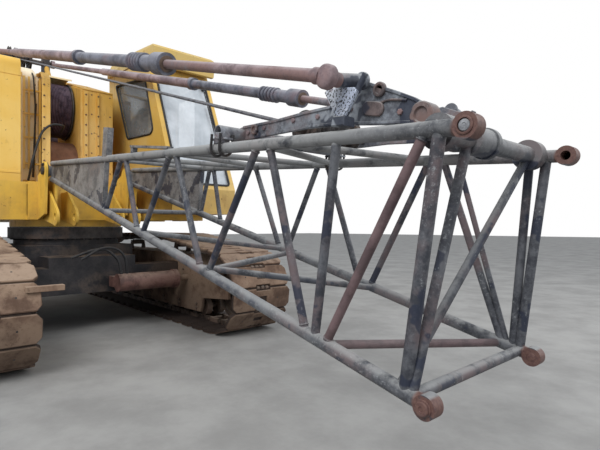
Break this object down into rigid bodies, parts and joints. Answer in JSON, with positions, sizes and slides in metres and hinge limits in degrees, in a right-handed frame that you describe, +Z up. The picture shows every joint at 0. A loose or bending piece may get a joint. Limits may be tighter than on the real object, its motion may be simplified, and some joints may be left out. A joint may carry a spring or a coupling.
{
  "type": "crawler crane",
  "caption": "Crawler crane with a lattice boom base section resting low, telescopic backstops, raised A-frame and crawlers drawn in.",
  "frame": {"origin": "on the ground at the middle of the overall length, on the machine's centre line", "axes": "+X forward along the boom, +Y to the operator's left (cab side), +Z up"},
  "size_m": [9.4071, 3.3, 4.44],
  "materials": {
    "yellow_paint": "weathered gloss",
    "boom_grey": "worn, patchy",
    "rusty_steel": "rusted",
    "track_steel": "dusty, rusted",
    "dark_steel": "dull",
    "grimy_black": "greasy",
    "primer_red": "faded",
    "rope_brown": "greased rope",
    "wire_rope": "greased",
    "black_vinyl": "satin",
    "window_glass": "clear"
  },
  "bodies": {
    "carbody": {"carbody": "grimy_black", "slew_ring": "dark_steel", "gauge_cylinder_left": "primer_red", "gauge_cylinder_right": "primer_red"},
    "crawler_left": {"crawler_frame_left": "track_steel", "track_left": "track_steel", "track_rollers_left": "dark_steel", "idler_left": "dark_steel", "drive_wheel_left": "dark_steel"},
    "crawler_right": {"crawler_frame_right": "track_steel", "track_right": "track_steel", "track_rollers_right": "dark_steel", "idler_right": "dark_steel", "drive_wheel_right": "dark_steel"},
    "upperworks": {"revolving_frame": "yellow_paint", "side_deck_right": "yellow_paint", "side_deck_left": "yellow_paint", "foot_brackets": "yellow_paint", "house_right": "yellow_paint", "house_left": "yellow_paint", "engine": "dark_steel", "counterweight": "yellow_paint", "cab_shell": "yellow_paint", "cab_roof": "yellow_paint", "cab_glass": "window_glass", "cab_step": "dark_steel", "operator_seat": "black_vinyl", "control_stand": "dark_steel", "drum_stand": "yellow_paint", "drum_guards": "yellow_paint", "drum_pan": "rusty_steel", "a_frame_legs": "yellow_paint", "a_frame_head": "yellow_paint", "head_sheaves": "dark_steel"},
    "door_front": {"house_door_front": "yellow_paint"},
    "door_rear": {"house_door_rear": "yellow_paint"},
    "cab_door": {"cab_door": "yellow_paint"},
    "drum_front": {"hoist_drum_front": "rope_brown"},
    "drum_rear": {"hoist_drum_rear": "rope_brown"},
    "ropes_rear": {"hoist_ropes_rear": "wire_rope"},
    "boom": {"boom_chords": "boom_grey", "boom_side_lacing": "boom_grey", "boom_cross_lacing": "boom_grey", "boom_foot_plates": "boom_grey", "boom_tip_frame": "boom_grey", "bridle": "dark_steel", "bridle_sheaves": "dark_steel", "strut_brackets": "dark_steel"},
    "ropes_front": {"hoist_ropes_front": "wire_rope"},
    "strut_rod_left": {"backstop_rod_left": "rusty_steel"},
    "strut_tube_left": {"backstop_tube_left": "rusty_steel"},
    "strut_eye_left": {"backstop_eye_left": "rusty_steel"},
    "strut_rod_right": {"backstop_rod_right": "rusty_steel"},
    "strut_tube_right": {"backstop_tube_right": "rusty_steel"},
    "strut_eye_right": {"backstop_eye_right": "rusty_steel"}
  },
  "joints": [
    {"name": "slew", "type": "hinge", "parent": "carbody", "child": "upperworks", "pos_m": [-1.22365, 0, 1.205], "axis": [0, 0, 1], "continuous": true},
    {"name": "gauge_left", "type": "slide", "parent": "carbody", "child": "crawler_left", "axis": [0, 1, 0], "range_m": [0, 0.38]},
    {"name": "gauge_right", "type": "slide", "parent": "carbody", "child": "crawler_right", "axis": [0, -1, 0], "range_m": [0, 0.38]},
    {"name": "boom_hoist", "type": "hinge", "parent": "upperworks", "child": "boom", "pos_m": [-0.27365, 0, 1.826], "axis": [0, -1, 0], "range_deg": [-4, 89]},
    {"name": "door_front_hinge", "type": "hinge", "parent": "upperworks", "child": "door_front", "pos_m": [-1.52865, -1.518, 2.4], "axis": [0, 0, 1], "range_deg": [0, 110]},
    {"name": "door_rear_hinge", "type": "hinge", "parent": "upperworks", "child": "door_rear", "pos_m": [-3.96865, -1.518, 2.4], "axis": [0, 0, -1], "range_deg": [0, 110]},
    {"name": "cab_door_slide", "type": "slide", "parent": "upperworks", "child": "cab_door", "axis": [-1, 0, 0], "range_m": [0, 0.62]},
    {"name": "drum_front_spin", "type": "hinge", "parent": "upperworks", "child": "drum_front", "pos_m": [-1.35365, 0, 2.745], "axis": [0, 1, 0], "continuous": true},
    {"name": "drum_rear_spin", "type": "hinge", "parent": "upperworks", "child": "drum_rear", "pos_m": [-2.47365, 0, 2.45], "axis": [0, 1, 0], "continuous": true},
    {"name": "ropes_rear_swing", "type": "hinge", "parent": "upperworks", "child": "ropes_rear", "pos_m": [-4.22365, 0, 4.26], "axis": [0, -1, 0], "range_deg": [-3, 39]},
    {"name": "ropes_front_swing", "type": "hinge", "parent": "boom", "child": "ropes_front", "pos_m": [3.60717, 0, 1.71757], "axis": [0, -1, 0], "range_deg": [-53, 4]},
    {"name": "strut_swing_left", "type": "hinge", "parent": "upperworks", "child": "strut_rod_left", "pos_m": [-4.22365, 0.552, 4.28], "axis": [0, -1, 0], "range_deg": [-3, 44]},
    {"name": "strut_tube_slide_left", "type": "slide", "parent": "strut_rod_left", "child": "strut_tube_left", "axis": [-0.9579, 0, 0.2869], "range_m": [-0.13, 2.68]},
    {"name": "strut_eye_slide_left", "type": "slide", "parent": "strut_tube_left", "child": "strut_eye_left", "axis": [-0.9579, 0, 0.2869], "range_m": [-0.07, 1.34]},
    {"name": "strut_swing_right", "type": "hinge", "parent": "upperworks", "child": "strut_rod_right", "pos_m": [-4.22365, -0.552, 4.28], "axis": [0, -1, 0], "range_deg": [-3, 44]},
    {"name": "strut_tube_slide_right", "type": "slide", "parent": "strut_rod_right", "child": "strut_tube_right", "axis": [-0.9579, 0, 0.2869], "range_m": [-0.13, 2.68]},
    {"name": "strut_eye_slide_right", "type": "slide", "parent": "strut_tube_right", "child": "strut_eye_right", "axis": [-0.9579, 0, 0.2869], "range_m": [-0.07, 1.34]}
  ],
  "couplings": [
    {"joint": "ropes_rear_swing", "follows": "boom_hoist", "ratio": 0.4252},
    {"joint": "ropes_front_swing", "follows": "boom_hoist", "ratio": -0.5748},
    {"joint": "strut_swing_left", "follows": "boom_hoist", "ratio": 0.4796},
    {"joint": "strut_tube_slide_left", "follows": "boom_hoist", "m_per_rad": 1.65},
    {"joint": "strut_eye_slide_left", "follows": "boom_hoist", "m_per_rad": 0.82},
    {"joint": "strut_swing_right", "follows": "boom_hoist", "ratio": 0.4796},
    {"joint": "strut_tube_slide_right", "follows": "boom_hoist", "m_per_rad": 1.65},
    {"joint": "strut_eye_slide_right", "follows": "boom_hoist", "m_per_rad": 0.82}
  ]
}
